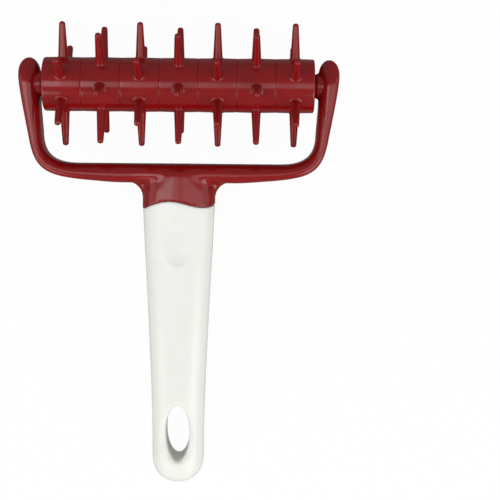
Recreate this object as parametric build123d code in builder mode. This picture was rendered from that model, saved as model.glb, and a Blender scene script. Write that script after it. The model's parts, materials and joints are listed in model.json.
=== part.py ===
from build123d import *
import os
from math import asin, atan2, cos, degrees, hypot, radians, sin

# Lengths are in millimetres. The tool frame has its origin at the middle of the roller's axis,
# X along the axis, Y from the handle to the roller and Z out of the upper side.

# Roller: equal rings side by side on one keyed core
ring_count = 7
ring_width = 15.0
ring_middle_radius = 10.55
ring_end_radius = 10.4
ring_edge_round = 0.25
rim_wall = 1.7
web_thickness = 2.0
hub_wall = 1.78
hub_recess = 1.5

# Spikes: blunt, eight-sided and tapered, with a flared root
spikes_per_ring = 6
spike_reach = 24.25
spike_root_across = 3.8
spike_tip_across = 2.25
spike_tip_round = 0.8
spike_corner_share = 0.26
root_flare = 0.7
rest_angle = 15.0
ring_turn = 90.0

# Keyed core and the plugs that close the stack
core_across = 8.0
core_corner = 0.8
core_fit = 0.05
core_bore_radius = 2.4
plug_floor = 1.7
flange_fit = 0.10
running_fit = 0.08

# Yoke: pins and bosses that hold the roller
pin_radius = 2.5
pin_length = 5.6
pin_lead = 0.8
pin_end_gap = 0.5
boss_radius = 4.9
end_play = 0.3
arm_gap = 1.95

# Yoke: plan outline
yoke_depth = 12.4
yoke_edge_round = 2.1
arm_end_width = 7.9
arm_end_from_axis = 10.3
arm_end_rise = 5.8
arm_outer_lean = 3.8
arm_inner_lean = 0.8
arm_straight = 8.0
bar_clearance = 6.65
bar_width = 7.15
inner_corner_across = 14.0
inner_corner_along = 12.0
outer_corner_across = 25.2
outer_corner_along = 18.1
bar_sweep_across = 13.0
arm_outer_shares = ((0.0, 0.185), (0.46, 0.556))
inner_corner_shares = ((0.0, 0.66), (0.32, 1.0))
outer_corner_shares = ((0.10, 0.785), (0.25, 0.884))
bar_sweep_shares = ((0.30, 0.38), (0.55, 1.0))
corner_end_share = 0.96

# Neck: a web beside it and a crown that carries the handle's oval up to the bar
neck_top_half_width = 14.9
neck_bottom_half_width = 13.7
neck_corner_round = 5.0
web_depth = 9.0
bar_to_crown = 2.7
crown_sink = 0.7
crown_station_shares = (0.0, 0.22, 0.44, 0.68, 1.0)
crown_rise_shares = (0.0, 0.32, 0.53, 0.76, 1.0)
crown_width_shares = (0.80, 0.86, 0.93, 0.98, 1.0)

# Joint line between neck and handle: a low wave
bar_to_joint = 15.2
joint_gap = 0.10
wave_height = 1.2
wave_place_shares = (-1.1, -0.63, -0.22, 0.21, 0.62, 1.1)
wave_rise_shares = (-2.7, 0.06, 1.0, 0.06, -0.98, 0.56)

# Handle: a tapered oval shell with a round end
oval_lead = 2.1
handle_length = 112.6
handle_top_half_width = 14.3
handle_top_half_depth = 8.8
handle_end_half_width = 10.3
handle_end_half_depth = 8.8
handle_wall = 2.7
oval_fullness_share = 1.25
taper_width_shares = (1.0, 0.855, 0.695, 0.525, 0.37, 0.232, 0.105, 0.025, 0.0)
end_stations = 7
end_last_angle = 87.0
cavity_to_hole = 6.85
cavity_stations = 6

# Hang hole through the handle, as shares of the handle's half width and of the wall beside the hole, and
# the thumb dish on the upper side
hang_hole_to_end = 21.5
hang_hole_width_share = 0.456
hang_hole_half_length = 11.35
hang_hole_mouth_share = 0.286
joint_to_dish = 16.1
dish_radius = 30.0
dish_depth = 1.3

# Tang: crossed ribs of the yoke inside the handle
tang_length = 45.9
tang_rib = 2.6
tang_fit = 0.45

# One length past the faces that a cut goes through
overrun = 3.0

settle_steps = 8

os.makedirs("parts", exist_ok=True)

# Roller and its ends
stack_half = ring_count * ring_width / 2
rim_inner_radius = ring_end_radius - rim_wall
hub_radius = hypot(core_across / 2, core_across / 2 - core_corner) + hub_wall
hub_half = ring_width / 2 - hub_recess
bore_depth = pin_length - end_play + pin_end_gap
plug_length = bore_depth + plug_floor - hub_recess
core_half = stack_half - hub_recess - plug_length
rest_facing = Vector(0, cos(radians(rest_angle)), sin(radians(rest_angle)))

# Places along the tool, as distances from the roller's axis
axis_to_bar = spike_reach + bar_clearance
crown_from_axis = axis_to_bar + bar_to_crown
axis_to_joint = axis_to_bar + bar_to_joint
oval_from_axis = axis_to_joint - oval_lead
dish_from_axis = axis_to_joint + joint_to_dish
tang_from_axis = axis_to_joint + tang_length
handle_from_axis = axis_to_joint + handle_length
hang_hole_from_axis = handle_from_axis - hang_hole_to_end
hang_hole_half_width = handle_end_half_width * hang_hole_width_share
hang_hole_mouth = (handle_end_half_width - hang_hole_half_width) * hang_hole_mouth_share
cavity_from_axis = hang_hole_from_axis - hang_hole_half_length - cavity_to_hole


def octagon(across: float):
    """Square with its corners cut off, in the open sketch."""
    square = Rectangle(across, across)
    chamfer(square.vertices(), across * spike_corner_share)


def key_square(across: float):
    """Keyed section of the core, in the open sketch."""
    square = Rectangle(across, across)
    chamfer(square.vertices(), core_corner)


# One spike along X, from inside the rim to its rounded tip
spike_start = ring_end_radius - rim_wall / 2
spike_length = spike_reach - spike_start
spike_taper = degrees(atan2((spike_root_across - spike_tip_across) / 2, spike_length))
flare_end = ring_middle_radius + root_flare
with BuildPart() as spike:
    with BuildSketch(Plane.YZ.offset(spike_start)):
        octagon(spike_root_across)
    extrude(amount=spike_length, taper=spike_taper)
    fillet(spike.faces().sort_by(Axis.X)[-1].edges(), spike_tip_round)
    with BuildSketch(Plane.YZ.offset(spike_start)):
        octagon(spike_root_across + 2 * (flare_end - spike_start))
    with BuildSketch(Plane.YZ.offset(flare_end)):
        octagon(spike_root_across - root_flare / 2)
    loft()

# One ring about X at the origin: rim with draft both ways, web, keyed hub and spikes
with BuildPart() as ring_pattern:
    with BuildSketch():
        with BuildLine():
            Polyline(
                (0, 0),
                (hub_half, 0),
                (hub_half, hub_radius),
                (web_thickness / 2, hub_radius),
                (web_thickness / 2, rim_inner_radius),
                (ring_width / 2, rim_inner_radius),
                (ring_width / 2, ring_end_radius),
                (0, ring_middle_radius),
            )
            mirror(about=Plane.YZ)
        make_face()
    revolve(axis=Axis.X)
    rim_ends = ring_pattern.faces().filter_by(Plane.YZ).group_by(Axis.X)
    for end_face in (rim_ends[0][0], rim_ends[-1][0]):
        fillet(end_face.edges().sort_by(SortBy.RADIUS)[-1], ring_edge_round)
    with Locations(Plane.YZ):
        with PolarLocations(0, spikes_per_ring):
            add(spike.part)
    with BuildSketch(Plane.YZ):
        key_square(core_across + 2 * core_fit)
    extrude(amount=ring_width, both=True, mode=Mode.SUBTRACT)

# Core: a square bar through the hubs, between the two plugs
with BuildPart() as roller_core:
    with BuildSketch(Plane(origin=(0, 0, 0), x_dir=rest_facing, z_dir=(1, 0, 0))):
        key_square(core_across)
        Circle(core_bore_radius, mode=Mode.SUBTRACT)
    extrude(amount=core_half, both=True)


def end_bush(side: int) -> Part:
    """Plug of the end ring on the -X or +X side: square key, flange and blind bearing bore."""
    inner_face = Plane(origin=(side * core_half, 0, 0), x_dir=rest_facing, z_dir=(side, 0, 0))
    with BuildPart() as bush:
        with BuildSketch(inner_face):
            key_square(core_across)
        extrude(amount=plug_length)
        with BuildSketch(inner_face.offset(plug_length)):
            Circle(rim_inner_radius - flange_fit)
        extrude(amount=hub_recess)
        with BuildSketch(inner_face.offset(plug_length + hub_recess)):
            Circle(pin_radius + running_fit)
        extrude(amount=-bore_depth, mode=Mode.SUBTRACT)
    return bush.part


def between(start: tuple, end: tuple, shares: tuple) -> list:
    """Points given as shares of the way from start to end, across and along."""
    return [
        (start[0] + (end[0] - start[0]) * across, start[1] + (end[1] - start[1]) * along)
        for across, along in shares
    ]


# Corners of the yoke's outline on the +X side
boss_face = stack_half + end_play
arm_inner = stack_half + arm_gap
arm_outer = arm_inner + arm_end_width
end_start = arm_end_from_axis - arm_end_rise
bar_middle = -axis_to_bar - bar_width / 2
bar_outer = -axis_to_bar - bar_width
inner_top = (arm_inner - arm_inner_lean, -axis_to_bar + inner_corner_along)
inner_bottom = (inner_top[0] - inner_corner_across, -axis_to_bar)
outer_top = (arm_outer - arm_outer_lean, bar_outer + outer_corner_along)
outer_bottom = (outer_top[0] - outer_corner_across, outer_top[1] - outer_corner_along * corner_end_share)
bar_sweep_end = (outer_bottom[0] - bar_sweep_across, bar_outer)
neck_bottom = -axis_to_joint - wave_height - overrun
crown_start_depth = yoke_depth / 2 - crown_sink
wave_half = handle_top_half_width + overrun


def across_handle(from_axis: float) -> Plane:
    """Plane square to the handle at a distance from the roller's axis, with Y up."""
    return Plane(origin=(0, -from_axis, 0), x_dir=(1, 0, 0), z_dir=(0, -1, 0))


def oval_section(from_axis: float, half_width: float, half_depth: float) -> Sketch:
    """Oval fuller than an ellipse, square to the handle at a distance from the roller's axis.

    Each half is one curve of degree four, whose middle pole is set so that its top is at half_depth.
    """
    middle_pole_share = (16 - 8 * oval_fullness_share) / 6
    with BuildSketch(across_handle(from_axis)) as section:
        with BuildLine():
            Bezier(
                (half_width, 0),
                (half_width, half_depth * oval_fullness_share),
                (0, half_depth * middle_pole_share),
                (-half_width, half_depth * oval_fullness_share),
                (-half_width, 0),
            )
            mirror(about=Plane.XZ)
        make_face()
    return section.sketch


def below_joint(shift: float) -> Sketch:
    """All that lies on the handle's side of the joint line, which shift moves along Y."""
    wave_points = [
        (place * handle_top_half_width, shift - axis_to_joint + rise * wave_height)
        for place, rise in zip(wave_place_shares, wave_rise_shares)
    ]
    far_end = -handle_from_axis - overrun
    with BuildSketch(mode=Mode.PRIVATE) as region:
        with BuildLine():
            wave = Spline(*wave_points)
            Polyline(
                wave @ 1,
                (wave_half, (wave @ 1).Y),
                (wave_half, far_end),
                (-wave_half, far_end),
                (-wave_half, (wave @ 0).Y),
                wave @ 0,
            )
        make_face()
    return region.sketch


def even_shares(count: int) -> list:
    """Shares from 0 to 1 in equal steps."""
    return [step / (count - 1) for step in range(count)]


# Sections of the handle: an even taper from above the joint, then the round end
taper_length = handle_from_axis - handle_end_half_width - oval_from_axis
end_from_axis = oval_from_axis + taper_length
width_fall = handle_top_half_width - handle_end_half_width
depth_fall = handle_top_half_depth - handle_end_half_depth
taper = [
    (
        oval_from_axis + taper_length * station,
        handle_end_half_width + width_fall * width_share,
        handle_end_half_depth + depth_fall * width_share,
    )
    for station, width_share in zip(even_shares(len(taper_width_shares)), taper_width_shares)
]
end_angles = [radians(end_last_angle * share) for share in even_shares(end_stations)]
round_end = [
    (
        end_from_axis + handle_end_half_width * sin(angle),
        handle_end_half_width * cos(angle),
        handle_end_half_depth * cos(angle),
    )
    for angle in end_angles
]
with BuildPart() as grip_form:
    loft([oval_section(*station) for station in taper])
    loft([oval_section(*station) for station in round_end])


def handle_half(from_axis: float) -> tuple:
    """Half width and half depth of the handle at a distance from the roller's axis."""
    for (near, near_width, near_depth), (far, far_width, far_depth) in zip(taper, taper[1:]):
        if from_axis <= far:
            part_way = (from_axis - near) / (far - near)
            return (
                near_width + (far_width - near_width) * part_way,
                near_depth + (far_depth - near_depth) * part_way,
            )
    return handle_end_half_width, handle_end_half_depth


# Handle: the form below the joint line, hollow as far as the wall above the hang hole
with BuildPart() as handle:
    add(grip_form.part)
    extrude(below_joint(-joint_gap), amount=handle_top_half_depth + overrun, both=True, mode=Mode.INTERSECT)
    cavity_sections = []
    for station in even_shares(cavity_stations):
        from_axis = oval_from_axis + (cavity_from_axis - oval_from_axis) * station
        half_width, half_depth = handle_half(from_axis)
        cavity_sections.append(oval_section(from_axis, half_width - handle_wall, half_depth - handle_wall))
    loft(cavity_sections, mode=Mode.SUBTRACT)
    dish_surface = handle_half(dish_from_axis)[1]
    with Locations((0, -dish_from_axis, dish_surface - dish_depth + dish_radius)):
        Sphere(dish_radius, mode=Mode.SUBTRACT)
    with BuildSketch():
        with Locations((0, -hang_hole_from_axis)):
            Ellipse(hang_hole_half_width, hang_hole_half_length)
    extrude(amount=handle_top_half_depth + handle_end_half_depth, both=True, mode=Mode.SUBTRACT)
    mouths = handle.edges().filter_by(GeomType.BSPLINE).filter_by(
        lambda edge: abs(edge.bounding_box().center().Y + hang_hole_from_axis) < hang_hole_mouth
    )
    fillet(mouths, hang_hole_mouth)

# Web: a thinner plate that joins the bar to the handle, with a round corner at each side
with BuildPart() as web:
    with BuildSketch(Plane.XY.offset(-web_depth / 2)):
        with BuildLine():
            Polyline((0, bar_middle), (bar_sweep_end[0], bar_middle), bar_sweep_end)
            FilletPolyline(
                bar_sweep_end,
                (neck_top_half_width, bar_outer),
                (neck_bottom_half_width, neck_bottom),
                radius=neck_corner_round,
            )
            Line((neck_bottom_half_width, neck_bottom), (0, neck_bottom))
            mirror(about=Plane.YZ)
        make_face()
    extrude(amount=web_depth)
    hidden_sides = web.faces().filter_by(Axis.Y)
    fillet(web.faces().filter_by(Axis.Z).edges() - hidden_sides.edges(), yoke_edge_round)

# Yoke: two arms and a bar with rounded edges, then the web, crown, tang, bosses and pins
with BuildPart() as yoke:
    with BuildSketch(Plane.XY.offset(-yoke_depth / 2)):
        with BuildLine():
            Line((0, -axis_to_bar), inner_bottom)
            Bezier(inner_bottom, *reversed(between(inner_top, inner_bottom, inner_corner_shares)), inner_top)
            Polyline(inner_top, (arm_inner, -arm_straight), (arm_inner, end_start))
            EllipticalCenterArc(
                (arm_inner + arm_end_width / 2, end_start), arm_end_width / 2, arm_end_rise, 0, arc_size=180
            )
            Bezier(
                (arm_outer, end_start),
                *between((arm_outer, end_start), outer_top, arm_outer_shares),
                outer_top,
            )
            Bezier(outer_top, *between(outer_top, outer_bottom, outer_corner_shares), outer_bottom)
            Bezier(outer_bottom, *between(outer_bottom, bar_sweep_end, bar_sweep_shares), bar_sweep_end)
            Line(bar_sweep_end, (0, bar_outer))
            mirror(about=Plane.YZ)
        make_face()
    extrude(amount=yoke_depth)
    fillet(yoke.faces().filter_by(Axis.Z).edges(), yoke_edge_round)
    add(web.part)
    crown = [
        oval_section(
            crown_from_axis + (oval_from_axis - crown_from_axis) * station,
            handle_top_half_width * width_share,
            crown_start_depth + (handle_top_half_depth - crown_start_depth) * rise,
        )
        for station, width_share, rise in zip(crown_station_shares, crown_width_shares, crown_rise_shares)
    ]
    loft(crown)
    add(grip_form.part)
    extrude(below_joint(0), amount=handle_top_half_depth + overrun, both=True, mode=Mode.SUBTRACT)
    top_width, top_depth = handle_half(oval_from_axis)
    tip_width, tip_depth = handle_half(tang_from_axis)
    inset = handle_wall + tang_fit
    with BuildSketch(across_handle(oval_from_axis)):
        Rectangle(2 * (top_width - inset), tang_rib)
    with BuildSketch(across_handle(tang_from_axis)):
        Rectangle(2 * (tip_width - inset), tang_rib)
    loft()
    with BuildSketch(across_handle(oval_from_axis)):
        Rectangle(tang_rib, 2 * (top_depth - inset))
    with BuildSketch(across_handle(tang_from_axis)):
        Rectangle(tang_rib, 2 * (tip_depth - inset))
    loft()
    for side in (-1, 1):
        boss_plane = Plane(origin=(side * boss_face, 0, 0), z_dir=(side, 0, 0))
        with BuildSketch(boss_plane):
            Circle(boss_radius)
        extrude(amount=arm_inner - boss_face + arm_end_width / 2)
        with BuildSketch(boss_plane):
            Circle(pin_radius)
        extrude(amount=-pin_length)
        pin_end = yoke.faces(Select.LAST).sort_by(lambda face: abs(face.center().X))[0]
        chamfer(pin_end.edges(), pin_lead)

# Rings side by side on the core, every second one turned on its key
rings = []
for index in range(ring_count):
    ring_middle = (index + 1 / 2) * ring_width - stack_half
    ring_place = Location((ring_middle, 0, 0), (rest_angle + ring_turn * (index % 2), 0, 0))
    rings.append(ring_place * ring_pattern.part)

# Rest on a table: the lowest spike tips and the underside of the handle's round end touch it
roller_box = rings[0].bounding_box()
axis_height = -roller_box.min.Z
tilt = 0
for _ in range(settle_steps):
    end_drop = hypot(handle_end_half_width * sin(tilt), handle_end_half_depth * cos(tilt))
    tilt = asin((axis_height - end_drop) / end_from_axis)
end_reach = hypot(handle_end_half_width * cos(tilt), handle_end_half_depth * sin(tilt))
length_behind = end_from_axis * cos(tilt) + end_reach
table_place = Location((0, (length_behind - roller_box.max.Y) / 2, axis_height))
leaning = Rot(degrees(tilt), 0, 0)

pieces = {
    "yoke": table_place * leaning * yoke.part,
    "handle": table_place * leaning * handle.part,
    "roller_core": table_place * roller_core.part,
    "end_bush_left": table_place * end_bush(-1),
    "end_bush_right": table_place * end_bush(1),
}
for index, ring in enumerate(rings):
    pieces[f"spike_ring_{index + 1}"] = table_place * ring
for name, piece in pieces.items():
    piece.label = name
    export_step(piece, f"parts/{name}.step")
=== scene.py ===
"""Looks of a dough docker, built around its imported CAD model.

Blender objects are in metres in the CAD model's frame: X along the roller's axle, Y from the handle to the
roller, Z up from the table. Sizes below are in millimetres in the tool's own axes, which start at the middle
of the roller's axis and lean with the yoke and handle.
"""

import json
import logging
from dataclasses import dataclass
from enum import Enum
from math import atan2, cos, hypot, pi, radians, sin, sqrt, tau
from typing import Callable

import bmesh
import bpy
import numpy as np
from mathutils import Euler, Matrix, Vector


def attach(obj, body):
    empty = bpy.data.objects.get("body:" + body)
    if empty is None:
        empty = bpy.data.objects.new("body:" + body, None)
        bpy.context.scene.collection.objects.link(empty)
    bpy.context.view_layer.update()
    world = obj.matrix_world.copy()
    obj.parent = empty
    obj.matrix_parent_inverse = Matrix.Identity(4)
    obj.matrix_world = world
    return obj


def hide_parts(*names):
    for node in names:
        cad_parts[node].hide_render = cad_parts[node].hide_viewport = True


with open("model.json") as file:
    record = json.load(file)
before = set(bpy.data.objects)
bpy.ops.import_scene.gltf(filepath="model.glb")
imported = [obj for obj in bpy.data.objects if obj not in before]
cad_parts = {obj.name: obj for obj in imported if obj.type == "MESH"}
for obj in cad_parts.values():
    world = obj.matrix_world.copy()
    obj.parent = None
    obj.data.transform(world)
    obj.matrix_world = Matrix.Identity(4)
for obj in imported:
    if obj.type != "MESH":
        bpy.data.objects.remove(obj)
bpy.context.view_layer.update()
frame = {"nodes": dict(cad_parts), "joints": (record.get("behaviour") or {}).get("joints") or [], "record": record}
LOG = logging.getLogger("dough_docker")
MM = 0.001
WELD_MM = 1e-4
SMOOTHING = 0.5
Outline = list[tuple[float, float]]
Shares = tuple[tuple[float, float], ...]
Ring = list[Vector]


class Body(Enum):
    """Bodies of the motion model."""

    HOLDER = "holder"
    ROLLER = "roller"


class Slot(Enum):
    """Material slots of the record for the red and white plastics."""

    RED = "red_plastic"
    WHITE = "white_plastic"


def linear(colour: str) -> tuple[float, float, float, float]:
    """Turn an sRGB hex colour into the linear colour that a socket takes.

    Args:
        colour: Six hex digits after a hash sign.

    Returns:
        Red, green, blue and an alpha of one.
    """
    shares = [int(colour[place : place + 2], 16) / 255 for place in (1, 3, 5)]
    curve = [share / 12.92 if share <= 0.04045 else ((share + 0.055) / 1.055) ** 2.4 for share in shares]
    return (*curve, 1.0)


def add_node(
    tree: bpy.types.NodeTree, kind: str, sockets: dict | None = None, **settings: object
) -> bpy.types.Node:
    """Add a node with its settings and links.

    Args:
        tree: Node tree that takes the node.
        kind: Blender's name of the node type.
        sockets: Input name or number to the socket that feeds it, or to its plain value.
        settings: Properties of the node.

    Returns:
        The new node.
    """
    node = tree.nodes.new(kind)
    for name, value in settings.items():
        setattr(node, name, value)
    for name, value in (sockets or {}).items():
        if isinstance(value, bpy.types.NodeSocket):
            tree.links.new(value, node.inputs[name])
        else:
            node.inputs[name].default_value = value
    return node


# Finishes


@dataclass(frozen=True)
class Plastic:
    """Solid thermoplastic.

    The eye sees an even body colour with faint swirls, a gloss that a shallow peel breaks up, and hairline
    scuffs along the piece. Peel and scuffs are drawn coarser than real ones, which no pixel would show.
    """

    name: str
    colour: str
    swirl_colour: str
    roughness: float
    roughness_spread: float
    translucency: float = 0.0
    ior: float = 1.5
    swirl_mm: float = 9.0
    swirl_range: tuple[float, float] = (0.35, 0.7)
    gloss_mm: float = 3.0
    gloss_range: tuple[float, float] = (0.3, 0.7)
    peel_mm: float = 1.1
    peel_depth_mm: float = 0.003
    scuff_mm: float = 0.5
    scuff_stretch: float = 14.0
    scuff_turn: tuple[float, float, float] = (0.3, 0.2, 0.6)
    scuff_depth_mm: float = 0.002
    glow_mm: float = 3.0
    glow_radii: tuple[float, float, float] = (1.0, 0.8, 0.55)

    def build(self) -> bpy.types.Material:
        """Build the node tree.

        Returns:
            The finished material.
        """
        material = bpy.data.materials.new(self.name)
        material.use_nodes = True
        tree = material.node_tree
        tree.nodes.clear()
        place = add_node(tree, "ShaderNodeTexCoord").outputs["Object"]
        stretched = add_node(
            tree,
            "ShaderNodeMapping",
            {"Vector": place, "Rotation": self.scuff_turn, "Scale": (1.0, 1.0 / self.scuff_stretch, 1.0)},
        )
        lumps = {}
        for part, size_mm, detail, vector in (
            ("swirl", self.swirl_mm, 2.0, place),
            ("gloss", self.gloss_mm, 3.0, place),
            ("peel", self.peel_mm, 2.0, place),
            ("scuff", self.scuff_mm, 1.0, stretched.outputs["Vector"]),
        ):
            sockets = {"Vector": vector, "Scale": 1 / (size_mm * MM), "Detail": detail}
            lumps[part] = add_node(tree, "ShaderNodeTexNoise", sockets).outputs["Fac"]
        swirls = add_node(
            tree,
            "ShaderNodeMapRange",
            {"Value": lumps["swirl"], "From Min": self.swirl_range[0], "From Max": self.swirl_range[1]},
        )
        body = add_node(
            tree,
            "ShaderNodeMix",
            {0: swirls.outputs["Result"], "A": linear(self.colour), "B": linear(self.swirl_colour)},
            data_type="RGBA",
        )
        gloss = add_node(
            tree,
            "ShaderNodeMapRange",
            {
                "Value": lumps["gloss"],
                "From Min": self.gloss_range[0],
                "From Max": self.gloss_range[1],
                "To Min": self.roughness - self.roughness_spread,
                "To Max": self.roughness + self.roughness_spread,
            },
        )
        peel = add_node(
            tree,
            "ShaderNodeBump",
            {"Height": lumps["peel"], "Strength": 1.0, "Distance": self.peel_depth_mm * MM},
        )
        skin = add_node(
            tree,
            "ShaderNodeBump",
            {
                "Height": lumps["scuff"],
                "Strength": 1.0,
                "Distance": self.scuff_depth_mm * MM,
                "Normal": peel.outputs["Normal"],
            },
        )
        shader = add_node(
            tree,
            "ShaderNodeBsdfPrincipled",
            {
                "Base Color": body.outputs["Result"],
                "Roughness": gloss.outputs["Result"],
                "IOR": self.ior,
                "Normal": skin.outputs["Normal"],
                "Subsurface Weight": self.translucency,
                "Subsurface Radius": self.glow_radii,
                "Subsurface Scale": self.glow_mm * MM,
            },
        )
        add_node(tree, "ShaderNodeOutputMaterial", {"Surface": shader.outputs["BSDF"]})
        return material


# Shapes


@dataclass(frozen=True)
class ToolAxes:
    """The tool's own axes: origin on the roller's axis, leaning so that the handle's end meets the table."""

    origin: Vector
    lean: float

    @classmethod
    def of_record(cls) -> "ToolAxes":
        """Read the axes from the roller's hinge and from the direction of the hang hole.

        Returns:
            The axes of this tool.
        """
        record = frame["record"]
        hole = next(mount for mount in record["mounts"] if mount["name"] == "hang_hole")
        return cls(Vector(frame["joints"][0]["pos_m"]), atan2(-hole["axis"][1], hole["axis"][2]))

    def matrix(self, leaning: bool = True) -> Matrix:
        """Matrix from millimetres in the tool's axes to metres in the frame.

        Args:
            leaning: False for the roller, which keeps the frame's own directions.

        Returns:
            The matrix.
        """
        turn = Matrix.Rotation(self.lean if leaning else 0.0, 4, "X")
        return Matrix.Translation(self.origin) @ turn @ Matrix.Scale(MM, 4)


AXES = ToolAxes.of_record()


def bezier(poles: Outline | Shares, share: float) -> tuple[float, float]:
    """Point of a Bezier curve.

    Args:
        poles: Control points of the curve.
        share: Place along the curve, from 0 to 1.

    Returns:
        The point.
    """
    points = list(poles)
    while len(points) > 1:
        points = [
            (x + (next_x - x) * share, y + (next_y - y) * share)
            for (x, y), (next_x, next_y) in zip(points, points[1:])
        ]
    return points[0]


def shared_poles(start: tuple[float, float], end: tuple[float, float], shares: Shares) -> Outline:
    """Poles of a Bezier curve whose inner ones are given as shares of the way from start to end."""
    inner = [(start[0] + (end[0] - start[0]) * x, start[1] + (end[1] - start[1]) * y) for x, y in shares]
    return [start, *inner, end]


def curve_through(points: Outline | Shares) -> Callable[[float], float]:
    """Smooth curve through points, one cubic up to the third and one from the last but two.

    Args:
        points: At least five points with rising first coordinate.

    Returns:
        Function from the first coordinate to the second.
    """
    knots = [place for place, _ in points[2:-2]]

    def terms(place: float) -> list[float]:
        """Values of the curve's building blocks at a place."""
        return [place**power for power in range(4)] + [max(0.0, place - knot) ** 3 for knot in knots]

    weights = np.linalg.solve([terms(place) for place, _ in points], [height for _, height in points])
    return lambda place: float(np.dot(terms(place), weights))


def rounded(share: float, fullness: float) -> float:
    """Height of a superellipse, from 1 at share 0 down to 0 at share 1."""
    return max(0.0, 1 - min(1.0, abs(share)) ** fullness) ** (1 / fullness)


def loft(rings: list[Ring], matrix: Matrix, name: str) -> bpy.types.Object:
    """Closed skin over a row of rings with equal numbers of points.

    Point i of a ring mirrors point -i below, so strips between the two close each end.

    Args:
        rings: The rings, in order along the piece.
        matrix: From the rings' coordinates to the frame.
        name: Name of the object.

    Returns:
        The new object, linked to the scene.
    """
    form = bmesh.new()
    rows = [[form.verts.new(point) for point in ring] for ring in rings]
    count = len(rings[0])
    for near, far in zip(rows, rows[1:]):
        for index in range(count):
            after = (index + 1) % count
            form.faces.new((near[index], near[after], far[after], far[index]))
    for row in (rows[0], rows[-1]):
        for index in range(count // 2):
            strip = (row[index], row[index + 1], row[-index - 1], row[-index])
            form.faces.new(list(dict.fromkeys(strip)))
    return finished_form(form, matrix, name)


def finished_form(form: bmesh.types.BMesh, matrix: Matrix, name: str) -> bpy.types.Object:
    """Close doubles, turn the faces outwards and link the mesh as an object at the origin.

    Args:
        form: Mesh in its own coordinates. It is freed.
        matrix: From those coordinates to the frame.
        name: Name of the object.

    Returns:
        The new object.
    """
    form.transform(matrix)
    bmesh.ops.remove_doubles(form, verts=form.verts, dist=WELD_MM * MM)
    bmesh.ops.dissolve_degenerate(form, edges=form.edges, dist=WELD_MM * MM)
    bmesh.ops.recalc_face_normals(form, faces=form.faces)
    mesh = bpy.data.meshes.new(name)
    form.to_mesh(mesh)
    form.free()
    piece = bpy.data.objects.new(name, mesh)
    bpy.context.scene.collection.objects.link(piece)
    return piece


def plain_mesh(piece: bpy.types.Object) -> bpy.types.Object:
    """Turn an object's evaluated modifiers into its own mesh and remove them.

    Args:
        piece: Object with modifiers.

    Returns:
        The same object.
    """
    evaluated = piece.evaluated_get(bpy.context.evaluated_depsgraph_get())
    mesh = bpy.data.meshes.new_from_object(evaluated)
    mesh.name = piece.name
    piece.modifiers.clear()
    piece.data = mesh
    return piece


def joined(parts: list[bpy.types.Object], name: str) -> bpy.types.Object:
    """Join objects at the origin into one object whose shells overlap.

    Args:
        parts: The objects. They are removed.
        name: Name of the joined object.

    Returns:
        The joined object.
    """
    form = bmesh.new()
    for part in parts:
        form.from_mesh(part.data)
        bpy.data.objects.remove(part)
    mesh = bpy.data.meshes.new(name)
    form.to_mesh(mesh)
    form.free()
    piece = bpy.data.objects.new(name, mesh)
    bpy.context.scene.collection.objects.link(piece)
    return piece


def moulded_skin(piece: bpy.types.Object, cell_mm: float, rounds: int) -> bpy.types.Object:
    """Fuse overlapping shells into one skin and blend the corners where they meet, as a mould does.

    Args:
        piece: Closed shells in one mesh.
        cell_mm: Size of the new faces.
        rounds: Smoothing rounds, each of which widens the blends.

    Returns:
        The same object.
    """
    fuse = piece.modifiers.new("fuse", "REMESH")
    fuse.mode = "VOXEL"
    fuse.voxel_size = cell_mm * MM
    fuse.use_smooth_shade = True
    blend = piece.modifiers.new("blend", "SMOOTH")
    blend.factor = SMOOTHING
    blend.iterations = rounds
    plain_mesh(piece)
    piece.data.shade_smooth()
    return piece


def dressed(piece: bpy.types.Object, material: bpy.types.Material) -> bpy.types.Object:
    """Give a piece one material.

    Args:
        piece: The piece.
        material: Its only material.

    Returns:
        The same piece.
    """
    piece.data.materials.clear()
    piece.data.materials.append(material)
    return piece


@dataclass(frozen=True)
class Grip:
    """Sizes of the oval that the neck and the handle share, and of the joint line between them."""

    joint: float = 46.1
    oval_start: float = 44.0
    half_width: float = 14.3
    half_depth: float = 8.8
    fullness: float = 1.25
    wave_height: float = 1.2
    wave_shares: Shares = (
        (-1.1, -2.7),
        (-0.63, 0.06),
        (-0.22, 1.0),
        (0.21, 0.06),
        (0.62, -0.98),
        (1.1, 0.56),
    )

    def oval(self, half_width: float, half_depth: float, points: int = 96) -> Outline:
        """Oval fuller than an ellipse, starting at its +X side and going over the top.

        Args:
            half_width: Half of its width.
            half_depth: Half of its depth.
            points: Number of points, even.

        Returns:
            Points across and up.
        """
        middle = (16 - 8 * self.fullness) / 6
        poles = [
            (half_width, 0.0),
            (half_width, half_depth * self.fullness),
            (0.0, half_depth * middle),
            (-half_width, half_depth * self.fullness),
            (-half_width, 0.0),
        ]
        upper = [bezier(poles, 2 * index / points) for index in range(points // 2 + 1)]
        return upper + [(x, -z) for x, z in reversed(upper[1:-1])]

    def wave(self) -> Callable[[float], float]:
        """Y of the joint line as a function of the place across the tool."""
        wave = [(x * self.half_width, y * self.wave_height - self.joint) for x, y in self.wave_shares]
        return curve_through(wave)


# Roller


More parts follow.
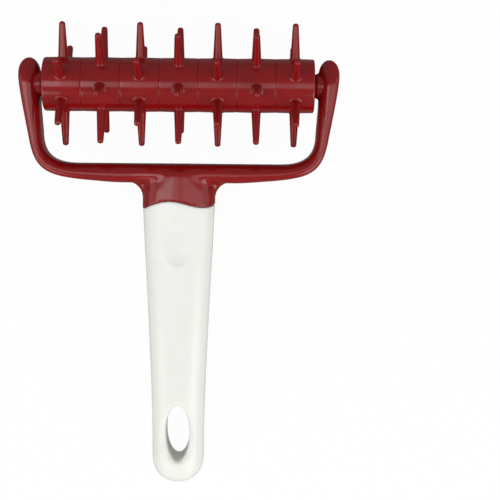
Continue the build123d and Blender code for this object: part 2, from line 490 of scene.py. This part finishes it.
@dataclass
class DockingRoller:
    """Seven equal spiked rings side by side on a keyed core, with a plug in each end.

    A spike's section is a square with cut corners: diagonal_share says how far the cuts lie out and
    corner_sharpness how crisp the eight edges are.
    """

    plastic: bpy.types.Material
    core_plastic: bpy.types.Material
    bush_plastic: bpy.types.Material
    # Ring's body
    rings: int = 7
    ring_width: float = 15.0
    middle_radius: float = 10.55
    end_radius: float = 10.4
    edge_round: float = 0.28
    outer_edge_round: float = 0.6
    edge_steps: int = 6
    flat_places: tuple[float, ...] = (0.05, 0.6, 3.5, 6.2)
    rim_lip: float = 0.1
    rim_wall: float = 1.7
    web: float = 2.0
    hub_radius: float = 6.9
    hub_bore: float = 5.3
    hub_half: float = 6.0
    around: int = 144
    merge_mm: float = 1e-3
    sharp_angle: float = 50.0
    # Spikes
    spikes: int = 6
    spike_reach: float = 24.25
    spike_start: float = 9.5
    root_across: float = 3.8
    root_flare: float = 0.6
    root_sink: float = 0.05
    root_follow: float = 1.8
    tip_across: float = 2.25
    tip_length: float = 1.05
    tip_fullness: float = 2.2
    diagonal_share: float = 1.0465
    corner_sharpness: float = 26.0
    spike_points: int = 48
    spike_steps: int = 8
    # Turn of the rings in degrees
    rest_angle: float = 15.0
    ring_turn: float = 90.0

    def section(self, left_round: float, right_round: float) -> Outline:
        """Closed section of the ring's body as places along the axle and distances from it.

        Args:
            left_round: Radius of the rim's edge on the -X side.
            right_round: Radius of the rim's edge on the +X side.

        Returns:
            The outline, whose last point repeats the first.
        """
        half = self.ring_width / 2
        slope = (self.middle_radius - self.end_radius) / half
        rim_inner = self.end_radius - self.rim_wall
        angles = [pi / 2 * step / self.edge_steps for step in range(self.edge_steps + 1)]
        sides = []
        for edge in (right_round, left_round):
            flats = [(place, self.middle_radius - slope * place) for place in self.flat_places]
            corner = [
                (half - edge * (1 - sin(angle)), self.end_radius - edge * (1 - cos(angle)))
                for angle in angles
            ]
            inside = [
                (half, rim_inner + self.rim_lip),
                (half - self.rim_lip, rim_inner),
                (self.web / 2, rim_inner),
                (self.web / 2, self.hub_radius),
                (self.hub_half, self.hub_radius),
                (self.hub_half, self.hub_bore),
            ]
            sides.append(flats + corner + inside)
        right, left = sides
        return right + [(-place, radius) for place, radius in reversed(left)] + right[:1]

    def spike(self) -> bpy.types.Object:
        """One eight-sided spike along Y with a flared root and a blunt round tip.

        Returns:
            The spike, for the rings' node tree to repeat.
        """
        steps = self.spike_steps
        quarter = [pi / 2 * step / steps for step in range(steps + 1)]
        root, flare = self.middle_radius - self.root_sink, self.root_flare + self.root_sink
        flare_end = self.middle_radius + self.root_flare
        tip_start = self.spike_reach - self.tip_length
        stations = [self.spike_start]
        stations += [root + flare * (1 - cos(angle)) for angle in quarter]
        stations += [flare_end + (tip_start - flare_end) * step / steps for step in range(1, steps + 1)]
        stations += [tip_start + self.tip_length * sin(angle) for angle in quarter[1:-1]]
        rings = []
        for station in stations:
            share = (station - self.spike_start) / (self.spike_reach - self.spike_start)
            half = (self.root_across + (self.tip_across - self.root_across) * share) / 2
            rise = min(max(station - self.middle_radius, 0.0), self.root_flare) / self.root_flare
            half += self.root_flare * (1 - sqrt(max(0.0, 1 - (1 - rise) ** 2)))
            half *= rounded(max(0.0, station - tip_start) / self.tip_length, self.tip_fullness)
            follow = max(0.0, 1 - max(0.0, station - self.middle_radius) / self.root_follow)
            ring = []
            for index in range(self.spike_points):
                angle = tau * index / self.spike_points
                flat = sum(abs(cos(angle - turn)) ** self.corner_sharpness for turn in (0, pi / 2))
                slant = sum(
                    (abs(cos(angle - turn)) / self.diagonal_share) ** self.corner_sharpness
                    for turn in (pi / 4, 3 * pi / 4)
                )
                radius = half / (flat + slant) ** (1 / self.corner_sharpness)
                x, z = radius * cos(angle), radius * sin(angle)
                drop = self.middle_radius - sqrt(self.middle_radius**2 - z**2)
                ring.append(Vector((x, station - drop * follow, z)))
            rings.append(ring)
        return loft(rings, Matrix.Scale(MM, 4), "spike_pattern")

    def tree(self) -> bpy.types.NodeTree:
        """Geometry Nodes that turn a section into a ring and stand spikes around it.

        Returns:
            The tree, with inputs for the spike, its number, the ring's turn and its place.
        """
        tree = bpy.data.node_groups.new("spiked ring", "GeometryNodeTree")
        for name, kind in (
            ("Section", "NodeSocketGeometry"),
            ("Spike", "NodeSocketObject"),
            ("Spikes", "NodeSocketInt"),
            ("Steps around", "NodeSocketInt"),
            ("First angle", "NodeSocketFloat"),
            ("Middle", "NodeSocketVector"),
            ("Plastic", "NodeSocketMaterial"),
        ):
            tree.interface.new_socket(name, in_out="INPUT", socket_type=kind)
        tree.interface.new_socket("Ring", in_out="OUTPUT", socket_type="NodeSocketGeometry")
        given = add_node(tree, "NodeGroupInput").outputs
        rows = add_node(
            tree, "GeometryNodeAttributeDomainSize", {"Geometry": given["Section"]}, component="MESH"
        ).outputs["Point Count"]
        columns = add_node(
            tree, "FunctionNodeIntegerMath", {0: given["Steps around"], 1: 1}, operation="ADD"
        ).outputs[0]
        grid = add_node(tree, "GeometryNodeMeshGrid", {"Vertices X": rows, "Vertices Y": columns})
        index = add_node(tree, "GeometryNodeInputIndex").outputs["Index"]
        row = add_node(tree, "FunctionNodeIntegerMath", {0: index, 1: columns}, operation="DIVIDE")
        column = add_node(tree, "FunctionNodeIntegerMath", {0: index, 1: columns}, operation="MODULO")
        point = add_node(
            tree,
            "GeometryNodeSampleIndex",
            {
                "Geometry": given["Section"],
                "Value": add_node(tree, "GeometryNodeInputPosition").outputs["Position"],
                "Index": row.outputs[0],
            },
            data_type="FLOAT_VECTOR",
        )
        angle = add_node(
            tree,
            "ShaderNodeMapRange",
            {"Value": column.outputs[0], "From Max": given["Steps around"], "To Max": tau},
        )
        place = add_node(
            tree,
            "ShaderNodeVectorRotate",
            {"Vector": point.outputs["Value"], "Angle": angle.outputs["Result"]},
            rotation_type="X_AXIS",
        )
        turned = add_node(
            tree, "GeometryNodeSetPosition", {"Geometry": grid.outputs["Mesh"], "Position": place.outputs[0]}
        )
        body = add_node(
            tree,
            "GeometryNodeMergeByDistance",
            {"Geometry": turned.outputs[0], "Distance": self.merge_mm * MM},
        )
        stations = add_node(tree, "GeometryNodePoints", {"Count": given["Spikes"]})
        turn = add_node(
            tree, "ShaderNodeMapRange", {"Value": index, "From Max": given["Spikes"], "To Max": tau}
        )
        around = add_node(tree, "ShaderNodeCombineXYZ", {"X": turn.outputs["Result"]})
        pattern = add_node(tree, "GeometryNodeObjectInfo", {"Object": given["Spike"]})
        spikes = add_node(
            tree,
            "GeometryNodeInstanceOnPoints",
            {
                "Points": stations.outputs[0],
                "Instance": pattern.outputs["Geometry"],
                "Rotation": around.outputs[0],
            },
        )
        both = add_node(tree, "GeometryNodeJoinGeometry", {0: spikes.outputs[0]})
        tree.links.new(body.outputs[0], both.inputs[0])
        first = add_node(tree, "ShaderNodeCombineXYZ", {"X": given["First angle"]})
        set_down = add_node(
            tree,
            "GeometryNodeTransform",
            {"Geometry": both.outputs[0], "Translation": given["Middle"], "Rotation": first.outputs[0]},
        )
        real = add_node(tree, "GeometryNodeRealizeInstances", {"Geometry": set_down.outputs[0]})
        coloured = add_node(
            tree, "GeometryNodeSetMaterial", {"Geometry": real.outputs[0], "Material": given["Plastic"]}
        )
        add_node(tree, "NodeGroupOutput", {"Ring": coloured.outputs[0]})
        return tree

    def ring(self, number: int, tree: bpy.types.NodeTree, spike: bpy.types.Object) -> bpy.types.Object:
        """Make one ring as a plain mesh that stands for its CAD node.

        Args:
            number: Number of the ring from the -X end, from 1.
            tree: Node tree of the rings.
            spike: Spike pattern.

        Returns:
            The ring, riding on the roller.
        """
        mesh = bpy.data.meshes.new("ring_section")
        section = self.section(
            self.outer_edge_round if number == 1 else self.edge_round,
            self.outer_edge_round if number == self.rings else self.edge_round,
        )
        mesh.from_pydata([(x * MM, radius * MM, 0.0) for x, radius in section], [], [])
        piece = bpy.data.objects.new(f"docking_ring_{number}", mesh)
        bpy.context.scene.collection.objects.link(piece)
        middle = (number - 0.5) * self.ring_width - self.rings * self.ring_width / 2
        values = {
            "Spike": spike,
            "Spikes": self.spikes,
            "Steps around": self.around,
            "First angle": radians(self.rest_angle + self.ring_turn * ((number - 1) % 2)),
            "Middle": AXES.matrix(leaning=False) @ Vector((middle, 0, 0)),
            "Plastic": self.plastic,
        }
        grow = piece.modifiers.new("spiked ring", "NODES")
        grow.node_group = tree
        for socket in tree.interface.items_tree:
            if socket.in_out == "INPUT" and socket.name in values:
                grow[socket.identifier] = values[socket.name]
        plain_mesh(piece)
        form = bmesh.new()
        form.from_mesh(piece.data)
        bmesh.ops.recalc_face_normals(form, faces=form.faces)
        form.to_mesh(piece.data)
        form.free()
        piece.data.shade_smooth()
        piece.data.set_sharp_from_angle(angle=radians(self.sharp_angle))
        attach(piece, Body.ROLLER.value)
        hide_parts(f"spike_ring_{number}")
        return piece

    def build(self) -> list[bpy.types.Object]:
        """Make the rings and dress the core and the end plugs.

        Returns:
            The pieces of the roller.
        """
        tree, spike = self.tree(), self.spike()
        pieces = [self.ring(number, tree, spike) for number in range(1, self.rings + 1)]
        bpy.data.objects.remove(spike)
        pieces.append(dressed(frame["nodes"]["roller_core"], self.core_plastic))
        for name in ("end_bush_left", "end_bush_right"):
            pieces.append(dressed(frame["nodes"][name], self.bush_plastic))
        return pieces


# Yoke


@dataclass
class Yoke:
    """One moulding: two arms and a bar with a soft ridge, a web, a crown, bosses, pins and the tang."""

    plastic: bpy.types.Material
    grip: Grip
    # Arms
    arm_inner: float = 54.45
    arm_width: float = 7.9
    arm_top: float = 4.5
    arm_rise: float = 5.8
    arm_outer_shares: Shares = ((0.0, 0.185), (0.46, 0.556))
    inner_lean: float = 0.8
    inner_lean_start: float = -8.0
    outer_lean: float = 3.8
    tip_angles: tuple[float, float] = (88.0, 1.0)
    tip_steps: int = 15
    dome_start: float = -0.6
    dome_shares: tuple[float, float] = (1.7, 1.5)
    # Bar and its bends into the arms
    half_depth: float = 6.2
    bar_inner: float = -30.7
    bar_width: float = 7.35
    bar_swell: float = 0.21
    swell_half: float = 19.0
    inner_corner: tuple[float, float] = (14.0, 12.0)
    inner_corner_shares: Shares = ((0.0, 0.70), (0.28, 1.0))
    outer_corner: tuple[float, float] = (25.2, 18.1)
    outer_corner_shares: Shares = ((0.09, 0.80), (0.25, 0.92))
    corner_end_share: float = 0.96
    bend_steps: int = 30
    bar_sweep: float = 13.0
    bar_sweep_shares: Shares = ((0.30, 0.38), (0.55, 1.0))
    sweep_steps: int = 40
    # Section of arms and bar, in halves of its width and depth
    inner_face_shares: Shares = ((-1.0, 0.30), (-1.0, 0.66), (-0.50, 0.90), (-0.02, 1.0))
    outer_face_shares: Shares = ((-0.02, 1.0), (0.60, 1.0), (1.0, 0.97), (1.0, 0.45))
    lower_corner_shares: Shares = ((1.0, -0.70), (1.0, -0.93), (0.83, -1.0), (0.45, -1.0))
    section_steps: int = 12
    # Web
    neck_half: tuple[float, float] = (14.9, 13.7)
    neck_bottom: float = 50.3
    neck_corner: float = 5.0
    neck_corner_steps: int = 16
    web_half_depth: float = 3.3
    web_edge_round: float = 7.0
    web_sinks: tuple[float, ...] = (2.5, 1.2)
    web_steps: int = 5
    web_points: int = 96
    # Crown
    crown_start: float = 33.6
    crown_bend: float = 4.0
    crown_depth: float = 7.9
    crown_rises: Shares = ((0.0, 0.0), (0.22, 0.24), (0.44, 0.46), (0.68, 0.70), (1.0, 1.0))
    crown_widths: Shares = ((0.0, 0.70), (0.22, 0.80), (0.44, 0.90), (0.68, 0.97), (1.0, 1.0))
    crown_steps: int = 20
    # Bosses, pins and tang
    boss_radius: float = 4.9
    boss_face: float = 52.8
    pin_radius: float = 2.5
    pin_length: float = 5.6
    lead_share: float = 0.12
    round_points: int = 48
    tang_end: float = 92.0
    tang_rib: float = 2.6
    tang_inset: float = 3.15
    tang_end_half: tuple[float, float] = (9.3, 5.6)
    # Skin, and where the neck's wider blends begin and fade in
    cell_mm: float = 0.42
    blend_rounds: int = 6
    neck_blend_rounds: int = 48
    blend_reach: float = 26.0
    blend_fade: float = 6.0
    outline_kept: float = 2.4
    outline_fade: float = 1.6
    joint_kept: float = 0.6
    joint_fade: float = 1.8
    bar_kept: float = 1.5
    bar_fade: float = 2.0

    def arm_pairs(self) -> list[tuple[tuple[float, float], tuple[float, float], float]]:
        """Matching points on both outlines of the +X half, from the arm's tip to the bar's middle.

        Returns:
            Inner point, outer point and the share of the full depth there.
        """
        centre = self.arm_inner + self.arm_width / 2
        tip = self.arm_top + self.arm_rise
        pairs = []

        def depth(y: float) -> float:
            """Share of the full depth, which falls towards the arm's tip."""
            way = max(0.0, (y - self.dome_start) / (tip - self.dome_start))
            return max(0.0, 1 - way ** self.dome_shares[0]) ** (1 / self.dome_shares[1])

        first, last = self.tip_angles
        for step in range(self.tip_steps + 1):
            angle = radians(first + (last - first) * step / self.tip_steps)
            half = self.arm_width / 2 * cos(angle)
            y = self.arm_top + self.arm_rise * sin(angle)
            pairs.append(((centre - half, y), (centre + half, y), depth(y)))
        inner_top = (self.arm_inner - self.inner_lean, self.bar_inner + self.inner_corner[1])
        inner_bottom = (inner_top[0] - self.inner_corner[0], self.bar_inner)
        bar_outer = self.bar_inner - self.bar_width
        outer_top = (centre + self.arm_width / 2 - self.outer_lean, bar_outer + self.outer_corner[1])
        bend = (self.outer_corner[0], self.outer_corner[1] * self.corner_end_share)
        outer_bottom = (outer_top[0] - bend[0], outer_top[1] - bend[1])
        outer_start = (centre + self.arm_width / 2, self.arm_top)
        outer_arm = shared_poles(outer_start, outer_top, self.arm_outer_shares)
        shares = [step / self.bend_steps for step in range(1, self.bend_steps + 1)]
        for share in shares:
            y = self.arm_top + (inner_top[1] - self.arm_top) * share
            lean = max(0.0, (self.inner_lean_start - y) / (self.inner_lean_start - inner_top[1]))
            pairs.append(((self.arm_inner - self.inner_lean * lean, y), bezier(outer_arm, share), depth(y)))
        inner_bend = shared_poles(inner_top, inner_bottom, self.inner_corner_shares)
        outer_bend = shared_poles(outer_top, outer_bottom, self.outer_corner_shares)
        pairs += [(bezier(inner_bend, share), bezier(outer_bend, share), 1.0) for share in shares]
        sweep_end = (outer_bottom[0] - self.bar_sweep, bar_outer)
        sweep = shared_poles(outer_bottom, sweep_end, self.bar_sweep_shares)
        swept = [bezier(sweep, step / self.sweep_steps) for step in range(self.sweep_steps + 1)]
        for share in shares:
            along = outer_bottom[0] * (1 - share)
            outer_y = bar_outer
            if along > sweep_end[0]:
                outer_y = min(swept, key=lambda point: abs(point[0] - along))[1]
            swell = self.bar_swell * cos(pi / 2 * min(1.0, along / self.swell_half)) ** 2
            pairs.append(((inner_bottom[0] * (1 - share), self.bar_inner), (along, outer_y), 1 + swell))
        return pairs

    def bow_section(self) -> Outline:
        """Section of arms and bar as shares of half its width and depth.

        The inner face slopes up to a soft ridge, and the outer face beyond it is almost level.

        Returns:
            Points from the middle of the outer side over the top.
        """
        steps = [step / self.section_steps for step in range(self.section_steps + 1)]
        over = [bezier(self.outer_face_shares, 1 - share) for share in steps]
        down = [bezier(self.inner_face_shares, 1 - share) for share in steps[1:]]
        under = [bezier(self.lower_corner_shares, share) for share in steps]
        return over + down + [(-x, z) for x, z in under] + under[::-1]

    def bow(self) -> bpy.types.Object:
        """Arms and bar as one closed sweep of the ridged section.

        Returns:
            The bow.
        """
        section = self.bow_section()
        half_pairs = self.arm_pairs()
        mirrored = [((-i[0], i[1]), (-o[0], o[1]), depth) for i, o, depth in half_pairs[:-1]]
        rings = []
        for inner, outer, depth in [*half_pairs, *reversed(mirrored)]:
            middle = Vector(((inner[0] + outer[0]) / 2, (inner[1] + outer[1]) / 2, 0))
            across = Vector((outer[0] - inner[0], outer[1] - inner[1], 0)) / 2
            up = Vector((0, 0, self.half_depth * depth))
            rings.append([middle + across * u + up * w for u, w in section])
        return loft(rings, AXES.matrix(), "bow")

    def to_joint(
        self, stations: list[tuple[float, Outline]], wavy_from: float, name: str
    ) -> bpy.types.Object:
        """Loft of sections that are flat at first and end on the wavy joint line.

        Args:
            stations: Distance from the roller's axis and section of each station.
            wavy_from: Distance from the axis at which the sections begin to bend.
            name: Name of the object.

        Returns:
            The form.
        """
        wave = self.grip.wave()
        widest = self.grip.half_width
        rings = []
        for from_axis, outline in stations:
            share = max(0.0, (from_axis - wavy_from) / (self.grip.joint - wavy_from))
            bends = [(wave(max(-widest, min(widest, x))) + self.grip.joint) * share for x, _ in outline]
            rings.append([Vector((x, bend - from_axis, z)) for (x, z), bend in zip(outline, bends)])
        return loft(rings, AXES.matrix(), name)

    def crown(self) -> bpy.types.Object:
        """Oval form that fans out of the bar and meets the handle.

        Returns:
            The crown.
        """
        grip = self.grip
        span = grip.oval_start - self.crown_start
        rise, widen = curve_through(self.crown_rises), curve_through(self.crown_widths)
        stations = []
        for step in range(self.crown_steps + 1):
            share = step / self.crown_steps
            depth = self.crown_depth + (grip.half_depth - self.crown_depth) * rise(share)
            outline = grip.oval(grip.half_width * widen(share), depth)
            stations.append((self.crown_start + span * share, outline))
        stations.append((grip.joint, grip.oval(grip.half_width, grip.half_depth)))
        return self.to_joint(stations, grip.oval_start - self.crown_bend, "crown")

    def web(self) -> bpy.types.Object:
        """Domed plate between bar and handle, with a round corner against the bar on each side.

        Returns:
            The web.
        """
        bar_outer = self.bar_width - self.bar_inner
        corner, edge = self.neck_corner, self.web_edge_round
        corner_x, corner_y = self.neck_half[0] + corner, bar_outer + corner
        slope = (self.neck_half[0] - self.neck_half[1]) / (self.neck_bottom - bar_outer)
        turns = [pi / 2 * step / self.neck_corner_steps for step in range(self.neck_corner_steps + 1)]
        steps = [step / self.web_steps for step in range(1, self.web_steps + 1)]
        places = [bar_outer - sink for sink in self.web_sinks]
        places += [bar_outer + corner * (1 - cos(turn)) for turn in turns]
        places += [corner_y + (self.grip.joint - corner_y) * step for step in steps]
        stations = []
        for from_axis in places:
            into = min(max(corner_y - from_axis, 0.0), corner)
            half = corner_x - sqrt(corner**2 - into**2) - slope * max(0.0, from_axis - bar_outer)
            outline = []
            for index in range(self.web_points):
                angle = tau * index / self.web_points
                x = half * cos(angle)
                inside = half - abs(x)
                if from_axis < corner_y:
                    inside = min(inside + corner, hypot(corner_x - abs(x), corner_y - from_axis) - corner)
                lip = edge - min(max(inside, 0.0), edge)
                height = self.web_half_depth * rounded(lip / edge, 2)
                upper, lower = 0 < index < self.web_points / 2, index > self.web_points / 2
                outline.append((x, height * (upper - lower)))
            stations.append((from_axis, outline))
        return self.to_joint(stations, corner_y, "web")

    def turned(self, side: int, start: float, end: float, radius: float, name: str) -> bpy.types.Object:
        """Round boss or pin along the roller's axis.

        Args:
            side: -1 or 1 for the arm.
            start: Distance of its free end from the middle of the tool.
            end: Distance of its end inside the arm.
            radius: Its radius.
            name: Name of the object.

        Returns:
            The form.
        """
        lead = radius * self.lead_share
        stations = ((start, radius - lead), (start + lead, radius), (end, radius))
        angles = [tau * index / self.round_points for index in range(self.round_points)]
        rings = [
            [Vector((side * x, r * cos(angle), r * sin(angle))) for angle in angles]
            for x, r in stations
        ]
        return loft(rings, AXES.matrix(), name)

    def tang(self) -> list[bpy.types.Object]:
        """Crossed ribs that carry the handle.

        Returns:
            The two ribs.
        """
        grip, rib = self.grip, self.tang_rib / 2
        ribs = []
        for name, near, far in (
            ("flat_rib", (grip.half_width - self.tang_inset, rib), (self.tang_end_half[0], rib)),
            ("upright_rib", (rib, grip.half_depth - self.tang_inset), (rib, self.tang_end_half[1])),
        ):
            form = bmesh.new()
            rows = []
            for from_axis, (wide, deep) in ((grip.oval_start, near), (self.tang_end, far)):
                corners = ((wide, deep), (-wide, deep), (-wide, -deep), (wide, -deep))
                rows.append([form.verts.new((x, -from_axis, z)) for x, z in corners])
                form.faces.new(rows[-1])
            for index in range(4):
                form.faces.new((rows[0][index], rows[0][index - 1], rows[1][index - 1], rows[1][index]))
            ribs.append(finished_form(form, AXES.matrix(), name))
        return ribs

    def soften_neck(self, piece: bpy.types.Object) -> None:
        """Widen the blends between bar, crown and web, but keep the joint's edge and the outline crisp.

        Args:
            piece: The fused yoke.
        """
        wave = self.grip.wave()
        to_tool = AXES.matrix().inverted()
        group = piece.vertex_groups.new(name="neck")
        for vertex in piece.data.vertices:
            x, y, z = to_tool @ vertex.co
            if abs(x) < self.blend_reach and -self.neck_bottom < y < self.bar_inner:
                ramps = (
                    (abs(z) - self.outline_kept) / self.outline_fade,
                    (y - wave(x) - self.joint_kept) / self.joint_fade,
                    (self.blend_reach - abs(x)) / self.blend_fade,
                    (self.bar_inner - self.bar_kept - y) / self.bar_fade,
                )
                group.add([vertex.index], min(min(max(ramp, 0.0), 1.0) for ramp in ramps), "REPLACE")
        blend = piece.modifiers.new("neck_blend", "SMOOTH")
        blend.factor = SMOOTHING
        blend.iterations = self.neck_blend_rounds
        blend.vertex_group = group.name
        plain_mesh(piece)
        piece.vertex_groups.clear()
        piece.data.shade_smooth()

    def build(self) -> bpy.types.Object:
        """Fuse the forms into one skin that stands for the CAD yoke.

        Returns:
            The yoke, riding on the holder.
        """
        parts = [self.bow(), self.crown(), self.web(), *self.tang()]
        for side in (-1, 1):
            arm_middle = self.arm_inner + self.arm_width / 2
            pin_start = self.boss_face - self.pin_length
            parts.append(self.turned(side, self.boss_face, arm_middle, self.boss_radius, "boss"))
            parts.append(self.turned(side, pin_start, arm_middle, self.pin_radius, "pin"))
        piece = moulded_skin(joined(parts, "yoke_moulding"), self.cell_mm, self.blend_rounds)
        self.soften_neck(piece)
        dressed(piece, self.plastic)
        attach(piece, Body.HOLDER.value)
        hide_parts("yoke")
        return piece


# Handle


@dataclass
class Handle:
    """White shell pushed over the tang, with a soft thumb dish and a round-lipped hang hole."""

    plastic: bpy.types.Material
    cell_mm: float = 0.45
    blend_rounds: int = 3

    def build(self) -> bpy.types.Object:
        """Re-skin the CAD handle with even faces and soft corners.

        Returns:
            The handle, riding on the holder.
        """
        form = bmesh.new()
        form.from_mesh(frame["nodes"]["handle"].data)
        piece = finished_form(form, Matrix.Identity(4), "handle_shell")
        moulded_skin(piece, self.cell_mm, self.blend_rounds)
        dressed(piece, self.plastic)
        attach(piece, Body.HOLDER.value)
        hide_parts("handle")
        return piece


# Studio


@dataclass(frozen=True)
class SoftBox:
    """Rectangular lamp with a given radiance. Lengths are in metres from the middle of the roller's axis."""

    name: str
    place: tuple[float, float, float]
    aim: tuple[float, float, float]
    size: tuple[float, float]
    radiance: float

    @classmethod
    def overhead(
        cls,
        name: str,
        across: tuple[float, float],
        along: tuple[float, float],
        radiance: float,
        height: float = 0.8,
    ) -> "SoftBox":
        """Level lamp that shines straight down.

        Args:
            name: Name of the lamp.
            across: Its two ends in X.
            along: Its two ends in Y.
            radiance: Its radiance.
            height: Height above the roller's axis.

        Returns:
            The lamp's description.
        """
        x, y = sum(across) / 2, sum(along) / 2
        size = (across[1] - across[0], along[1] - along[0])
        return cls(name, (x, y, height), (x, y, 0.0), size, radiance)

    @classmethod
    def beside(
        cls, name: str, place: tuple[float, float, float], size: tuple[float, float], radiance: float
    ) -> "SoftBox":
        """Lamp beside the tool that faces the roller.

        Args:
            name: Name of the lamp.
            place: Its middle.
            size: Its width and height.
            radiance: Its radiance.

        Returns:
            The lamp's description.
        """
        return cls(name, place, (0.0, 0.0, 0.0), size, radiance)

    def build(self) -> bpy.types.Object:
        """Make the lamp.

        Returns:
            The lamp, which the camera can't see.
        """
        lamp = bpy.data.lights.new(self.name, "AREA")
        lamp.shape = "RECTANGLE"
        lamp.size, lamp.size_y = self.size
        lamp.energy = self.radiance * self.size[0] * self.size[1] * pi
        holder = bpy.data.objects.new(self.name, lamp)
        holder.location = AXES.origin + Vector(self.place)
        holder.rotation_euler = (Vector(self.aim) - Vector(self.place)).to_track_quat("-Z", "Y").to_euler()
        holder.visible_camera = False
        bpy.context.scene.collection.objects.link(holder)
        return holder


@dataclass(frozen=True)
class Studio:
    """White table, white surroundings, soft lamps and the camera above the tool.

    The camera's place from the roller's axis, its turn in radians and its focal length in pixels were
    fitted to the photograph.
    """

    table_half: float = 12.0
    table_colour: str = "#f6f6f4"
    # Painted shade: the grey that glossy rays see on the table, darker than its own colour.
    mirrored_table_painted_shade: str = "#8c8c8a"
    surround: float = 0.30
    table_glow: float = 0.96
    focal_pixels: float = 1231.9
    image_pixels: float = 500.0
    sensor_mm: float = 36.0
    nearest: float = 0.01
    camera_mm: tuple[float, float, float] = (24.17, -58.35, 481.97)
    camera_tilt: tuple[float, float, float] = (0.0120, 0.0082, -0.0085)

    def table(self) -> bpy.types.Object:
        """Matt white table that keeps a faint shadow of the tool and runs into the white distance.

        Glossy plastic mirrors it greyer than it looks: a painted shade in the reflections that stands in for the
        table's shadow under the tool, so that the tool's edges stay dark against it.

        Returns:
            The table.
        """
        half = self.table_half
        form = bmesh.new()
        corners = [form.verts.new((x * half, y * half, 0)) for x, y in ((-1, -1), (1, -1), (1, 1), (-1, 1))]
        form.faces.new(corners)
        piece = finished_form(form, Matrix.Identity(4), "white_table")
        material = bpy.data.materials.new("matt white board")
        material.use_nodes = True
        tree = material.node_tree
        tree.nodes.clear()
        rays = add_node(tree, "ShaderNodeLightPath").outputs
        # Painted shade: glossy rays see the table in a darker grey, which stands in for its shadow under the tool.
        tone = add_node(
            tree,
            "ShaderNodeMix",
            {
                0: rays["Is Glossy Ray"],
                "A": linear(self.table_colour),
                "B": linear(self.mirrored_table_painted_shade),
            },
            data_type="RGBA",
        )
        paint = add_node(tree, "ShaderNodeBsdfDiffuse", {"Color": tone.outputs["Result"]})
        glow = add_node(tree, "ShaderNodeEmission", {"Color": (1, 1, 1, 1), "Strength": 1.0})
        share = add_node(
            tree, "ShaderNodeMath", {0: rays["Is Camera Ray"], 1: self.table_glow}, operation="MULTIPLY"
        )
        seen = add_node(
            tree, "ShaderNodeMixShader", {0: share.outputs[0], 1: paint.outputs[0], 2: glow.outputs[0]}
        )
        add_node(tree, "ShaderNodeOutputMaterial", {"Surface": seen.outputs[0]})
        dressed(piece, material)
        return piece

    def world(self) -> None:
        """White behind the table for the camera and a dim even light for the tool."""
        world = bpy.data.worlds.new("white studio")
        bpy.context.scene.world = world
        world.use_nodes = True
        tree = world.node_tree
        tree.nodes.clear()
        rays = add_node(tree, "ShaderNodeLightPath").outputs
        strength = add_node(
            tree,
            "ShaderNodeMapRange",
            {"Value": rays["Is Camera Ray"], "To Min": self.surround, "To Max": 1.0},
        )
        white = {"Color": (1, 1, 1, 1), "Strength": strength.outputs[0]}
        sky = add_node(tree, "ShaderNodeBackground", white)
        add_node(tree, "ShaderNodeOutputWorld", {"Surface": sky.outputs[0]})

    def camera(self) -> None:
        """Camera almost straight above the tool, as far off and as turned as in the photograph."""
        lens = bpy.data.cameras.new("camera")
        lens.sensor_width = self.sensor_mm
        lens.lens = self.focal_pixels * self.sensor_mm / self.image_pixels
        lens.clip_start = self.nearest
        holder = bpy.data.objects.new("camera", lens)
        holder.location = AXES.origin + Vector(self.camera_mm) * MM
        holder.rotation_mode = "ZYX"
        holder.rotation_euler = Euler([-angle for angle in self.camera_tilt], "ZYX")
        bpy.context.scene.collection.objects.link(holder)
        bpy.context.scene.camera = holder

    def build(self) -> None:
        """Set up the table, the light and the camera."""
        boxes = (
            SoftBox.overhead("left_overhead", (-0.80, -0.15), (-0.25, 0.06), 2.55),
            SoftBox.overhead("middle_overhead", (-0.15, -0.02), (-0.25, 0.06), 1.2),
            SoftBox.overhead("centre_overhead", (-0.02, 0.062), (-0.25, 0.06), 0.65),
            SoftBox.overhead("right_overhead", (0.062, 0.94), (-0.25, 0.06), 1.25),
            SoftBox.beside("left_softbox", (-0.95, 0.0, 0.45), (1.0, 0.6), 0.7),
            SoftBox.beside("right_softbox", (0.95, 0.0, 0.45), (1.0, 0.6), 0.7),
            SoftBox.beside("front_left_softbox", (-0.65, -0.70, 0.60), (0.8, 0.7), 1.8),
            SoftBox.beside("front_right_softbox", (0.65, -0.70, 0.60), (0.8, 0.7), 2.6),
        )
        for box in boxes:
            box.build()
        self.table()
        self.world()
        self.camera()
        bpy.context.scene.view_settings.view_transform = "Standard"


def main() -> None:
    """Build every sub-assembly and report its pieces."""
    logging.basicConfig(level=logging.INFO, format="%(name)s: %(message)s")
    # A polished mould leaves a glossy skin, so the lamps lie on the red as long pale bands.
    red = Plastic("red ABS, injection moulded", "#8a0c0f", "#830b0e", 0.16, 0.02).build()
    # The pigment lets a little light through, which softens the shade at the edges and in the hole.
    white = Plastic("white ABS, injection moulded", "#f2f2ed", "#f0f0ea", 0.24, 0.03, 0.3).build()
    # No mould polishes an extruded bar, so it stays dull and milky.
    core = Plastic("natural nylon, extruded", "#d9d6c8", "#d0ccbc", 0.5, 0.05).build()
    # A cutting tool leaves a satin face, which sets the plugs off from the glossy rings.
    bush = Plastic("dark red acetal, turned", "#6e1416", "#661214", 0.42, 0.04).build()
    grip = Grip()
    pieces = DockingRoller(red, core, bush).build()
    pieces.append(Yoke(red, grip).build())
    pieces.append(Handle(white).build())
    Studio().build()
    for piece in pieces:
        LOG.info("%s: %d faces", piece.name, len(piece.data.polygons))


if __name__ == "__main__":
    main()
